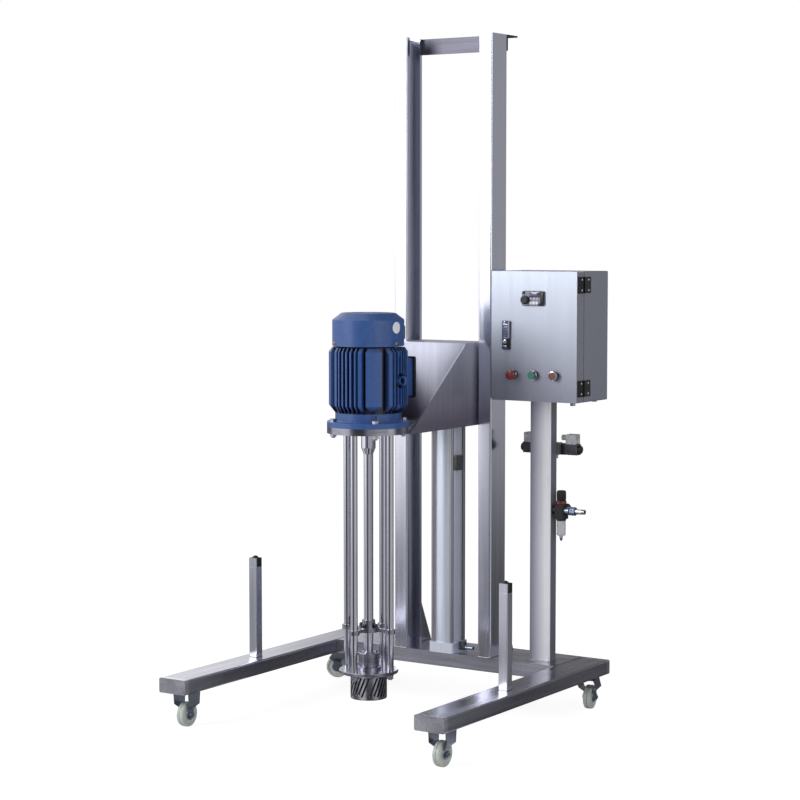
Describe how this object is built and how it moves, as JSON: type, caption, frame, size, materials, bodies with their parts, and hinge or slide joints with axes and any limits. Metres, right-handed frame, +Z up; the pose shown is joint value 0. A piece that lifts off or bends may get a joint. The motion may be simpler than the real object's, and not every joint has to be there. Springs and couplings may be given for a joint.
{
  "type": "high shear mixer",
  "caption": "Floor-standing high shear mixer on castors: pneumatic lift columns carry a motor, long shaft and slotted stator head beside a control cabinet.",
  "frame": {"origin": "on the floor under the middle of the base frame", "axes": "+Z up, +X to the right of the operator who faces the machine, +Y towards its rear"},
  "size_m": [1.0351, 0.9938, 2.115],
  "materials": {
    "stainless_brushed": "fine brushed stainless sheet and tube",
    "stainless_polished": "polished stainless",
    "steel_zinc": "bright zinc plated steel",
    "aluminium_anodised": "clear anodised aluminium",
    "motor_paint": "semi-gloss blue enamel on cast aluminium",
    "black_plastic": "black moulded plastic",
    "black_steel": "black oxide steel",
    "wheel_tread": "pale grey-green nylon",
    "guide_nylon": "natural nylon",
    "clear_plastic": "clear moulded plastic",
    "red_plastic": "red moulded plastic",
    "green_plastic": "green moulded plastic",
    "keypad_grey": "grey moulded plastic with a dark display",
    "panel_zinc": "galvanised sheet",
    "switch_grey": "grey moulded plastic",
    "rotor_steel": "machined steel"
  },
  "bodies": {
    "base": {"left_leg": "stainless_brushed", "right_leg": "stainless_brushed", "cross_beam": "stainless_brushed", "left_column": "stainless_polished", "right_column": "stainless_polished", "top_tie_angle": "stainless_brushed", "column_braces": "stainless_brushed", "tank_posts": "stainless_brushed", "post_inserts": "black_plastic", "front_caster_forks": "steel_zinc", "rear_caster_plates": "steel_zinc", "cylinder_end_caps": "aluminium_anodised", "cylinder_barrel": "aluminium_anodised", "cylinder_tie_rods": "steel_zinc", "box_post": "stainless_brushed", "cabinet_body": "stainless_brushed", "hinge_fixed_leaves": "black_steel", "mounting_panel": "panel_zinc", "drive_unit": "switch_grey", "switchgear": "switch_grey", "solenoid_valve": "aluminium_anodised", "valve_plugs": "clear_plastic", "regulator_body": "black_plastic", "regulator_bowl": "clear_plastic", "pipe_fittings": "steel_zinc"},
    "carriage": {"lift_bracket": "stainless_brushed", "guide_shoes": "guide_nylon", "piston_rod": "stainless_polished", "head_plate": "stainless_polished", "support_rods": "stainless_polished", "head_fasteners": "stainless_brushed", "steady_bearing": "stainless_polished", "bearing_housing": "stainless_polished", "bottom_plate": "stainless_polished", "stator": "stainless_polished", "motor_frame": "motor_paint", "motor_flange": "motor_paint", "fan_cowl": "motor_paint", "terminal_box": "motor_paint", "terminal_lid": "black_plastic", "lifting_eye": "motor_paint"},
    "mixer_rotor": {"motor_rotor": "rotor_steel", "cooling_fan": "black_plastic", "mixer_shaft": "stainless_polished", "rotor_head": "stainless_polished"},
    "door": {"cabinet_door": "stainless_brushed", "door_fittings": "black_plastic", "keypad_panel": "keypad_grey"},
    "rear_left_fork": {"rear_left_fork": "steel_zinc"},
    "rear_right_fork": {"rear_right_fork": "steel_zinc"},
    "front_left_wheel": {"front_left_wheel": "wheel_tread"},
    "front_right_wheel": {"front_right_wheel": "wheel_tread"},
    "rear_left_wheel": {"rear_left_wheel": "wheel_tread"},
    "rear_right_wheel": {"rear_right_wheel": "wheel_tread"},
    "speed_knob": {"speed_knob": "black_plastic"},
    "stop_mushroom": {"stop_mushroom": "red_plastic"},
    "start_button": {"start_button": "green_plastic"},
    "halt_button": {"halt_button": "red_plastic"},
    "lock_handle": {"lock_handle": "steel_zinc"},
    "regulator_knob": {"regulator_knob": "black_plastic"}
  },
  "joints": [
    {"name": "lift_slide", "type": "slide", "parent": "base", "child": "carriage", "axis": [0, 0, 1], "range_m": [0, 0.75]},
    {"name": "rotor_spin", "type": "hinge", "parent": "carriage", "child": "mixer_rotor", "pos_m": [0, -0.112, 0.5], "axis": [0, 0, 1], "continuous": true},
    {"name": "rear_left_swivel", "type": "hinge", "parent": "base", "child": "rear_left_fork", "pos_m": [-0.466, 0.438, 0.1], "axis": [0, 0, 1], "continuous": true},
    {"name": "rear_right_swivel", "type": "hinge", "parent": "base", "child": "rear_right_fork", "pos_m": [0.458, 0.438, 0.1], "axis": [0, 0, 1], "continuous": true},
    {"name": "front_left_wheel_spin", "type": "hinge", "parent": "base", "child": "front_left_wheel", "pos_m": [-0.458, -0.422, 0.0375], "axis": [1, 0, 0], "continuous": true},
    {"name": "front_right_wheel_spin", "type": "hinge", "parent": "base", "child": "front_right_wheel", "pos_m": [0.458, -0.422, 0.0375], "axis": [1, 0, 0], "continuous": true},
    {"name": "rear_left_wheel_spin", "type": "hinge", "parent": "rear_left_fork", "child": "rear_left_wheel", "pos_m": [-0.48956, 0.42701, 0.0375], "axis": [-0.4226, 0.9063, 0], "continuous": true},
    {"name": "rear_right_wheel_spin", "type": "hinge", "parent": "rear_right_fork", "child": "rear_right_wheel", "pos_m": [0.45349, 0.4636, 0.0375], "axis": [0.9848, 0.1736, 0], "continuous": true},
    {"name": "door_hinge", "type": "hinge", "parent": "base", "child": "door", "pos_m": [0.5042, 0.322, 1.179], "axis": [0, 0, 1], "range_deg": [0, 110]},
    {"name": "lock_lift", "type": "hinge", "parent": "door", "child": "lock_handle", "pos_m": [0.2545, 0.272, 1.214], "axis": [-1, 0, 0], "range_deg": [0, 30]},
    {"name": "speed_turn", "type": "hinge", "parent": "door", "child": "speed_knob", "pos_m": [0.324, 0.27, 1.291], "axis": [0, -1, 0], "range_deg": [-135, 135]},
    {"name": "stop_press", "type": "slide", "parent": "door", "child": "stop_mushroom", "axis": [0, 1, 0], "range_m": [0, 0.005], "stiffness_N_per_m": 600},
    {"name": "start_press", "type": "slide", "parent": "door", "child": "start_button", "axis": [0, 1, 0], "range_m": [0, 0.004], "stiffness_N_per_m": 500},
    {"name": "halt_press", "type": "slide", "parent": "door", "child": "halt_button", "axis": [0, 1, 0], "range_m": [0, 0.004], "stiffness_N_per_m": 500},
    {"name": "pressure_turn", "type": "hinge", "parent": "base", "child": "regulator_knob", "pos_m": [0.395, 0.377, 0.68], "axis": [0, 0, 1], "range_deg": [-360, 360]}
  ]
}
